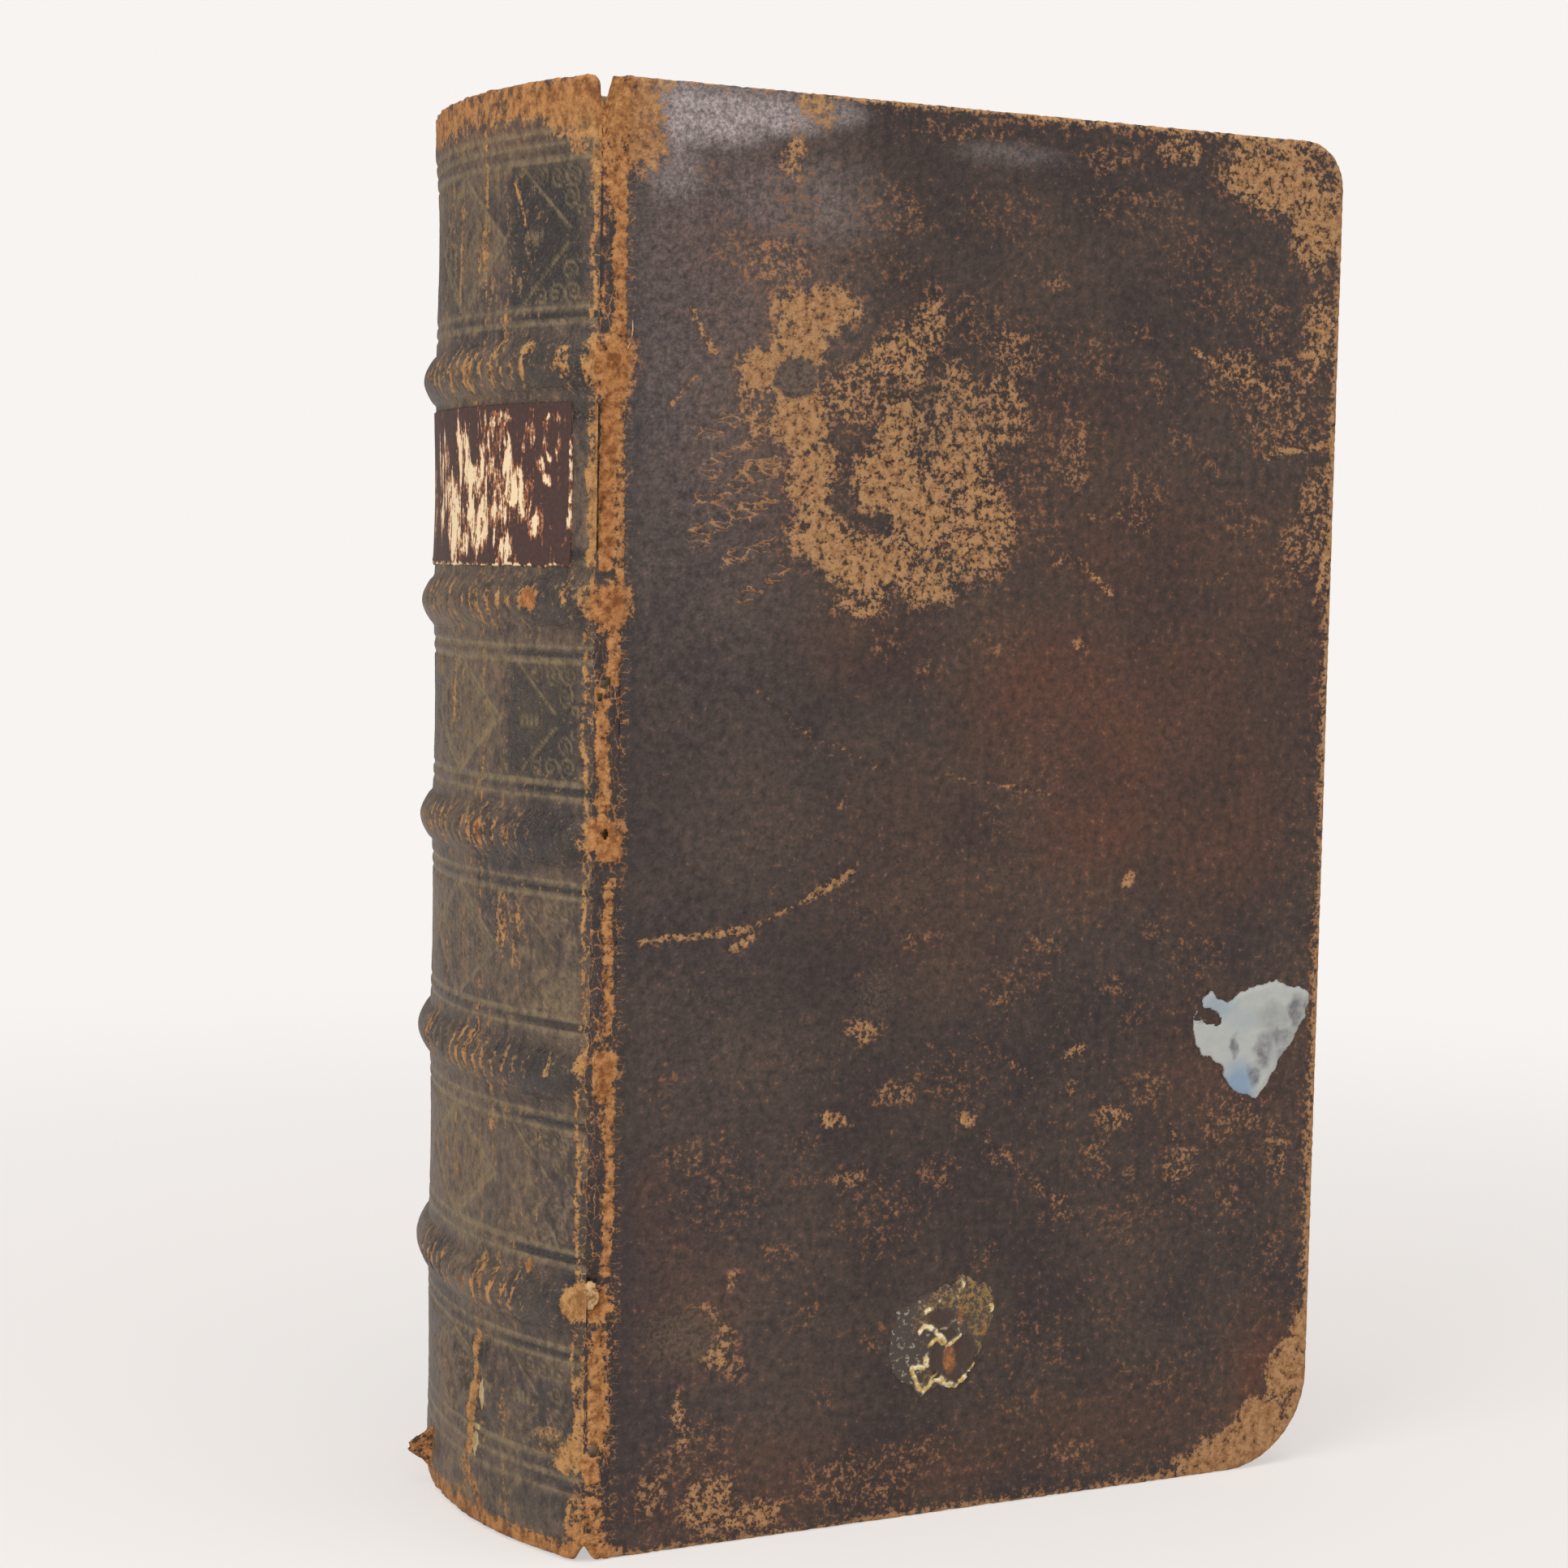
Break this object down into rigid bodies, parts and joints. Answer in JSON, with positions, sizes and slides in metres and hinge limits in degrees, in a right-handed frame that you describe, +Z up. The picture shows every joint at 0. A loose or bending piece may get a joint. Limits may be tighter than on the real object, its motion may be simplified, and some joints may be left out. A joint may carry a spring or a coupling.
{
  "type": "antique leather-bound book",
  "caption": "Upright antique hand-bound book in worn dark leather: round spine with raised bands and a bare label, hinged covers, sewn page block.",
  "frame": {"origin": "middle of the book's foot, at the level of the boards' tail edges", "axes": "+Z up from tail to head, -X the spine, +X the fore-edge, -Y the front cover, +Y the back cover"},
  "size_m": [0.1556, 0.072, 0.24],
  "materials": {
    "pages": "aged paper edges",
    "covering_leather": "worn dark brown calf",
    "label_leather": "worn dark red-brown",
    "endband_thread": "faded thread",
    "hemp_cord": "hemp",
    "lining_paper": "aged paper",
    "pasteboard": "grey-brown pasteboard",
    "endpaper": "aged plain paper"
  },
  "bodies": {
    "text_block": {"text_block": "pages", "spine_leather": "covering_leather", "title_label": "label_leather", "head_endband": "endband_thread", "tail_endband": "endband_thread", "sewing_cord_1": "hemp_cord", "sewing_cord_2": "hemp_cord", "sewing_cord_3": "hemp_cord", "sewing_cord_4": "hemp_cord", "sewing_cord_5": "hemp_cord", "spine_lining_1": "lining_paper", "spine_lining_2": "lining_paper", "spine_lining_3": "lining_paper", "spine_lining_4": "lining_paper", "spine_lining_5": "lining_paper", "spine_lining_6": "lining_paper"},
    "front_cover": {"front_board": "pasteboard", "front_leather": "covering_leather", "front_pastedown": "endpaper", "front_slip_1": "hemp_cord", "front_slip_2": "hemp_cord", "front_slip_3": "hemp_cord", "front_slip_4": "hemp_cord", "front_slip_5": "hemp_cord"},
    "back_cover": {"back_board": "pasteboard", "back_leather": "covering_leather", "back_pastedown": "endpaper", "back_slip_1": "hemp_cord", "back_slip_2": "hemp_cord", "back_slip_3": "hemp_cord", "back_slip_4": "hemp_cord", "back_slip_5": "hemp_cord"}
  },
  "joints": [
    {"name": "front_hinge", "type": "hinge", "parent": "text_block", "child": "front_cover", "pos_m": [-0.06185, -0.036, 0.12], "axis": [0, 0, -1], "range_deg": [0, 175]},
    {"name": "back_hinge", "type": "hinge", "parent": "text_block", "child": "back_cover", "pos_m": [-0.06185, 0.036, 0.12], "axis": [0, 0, 1], "range_deg": [0, 175]}
  ]
}
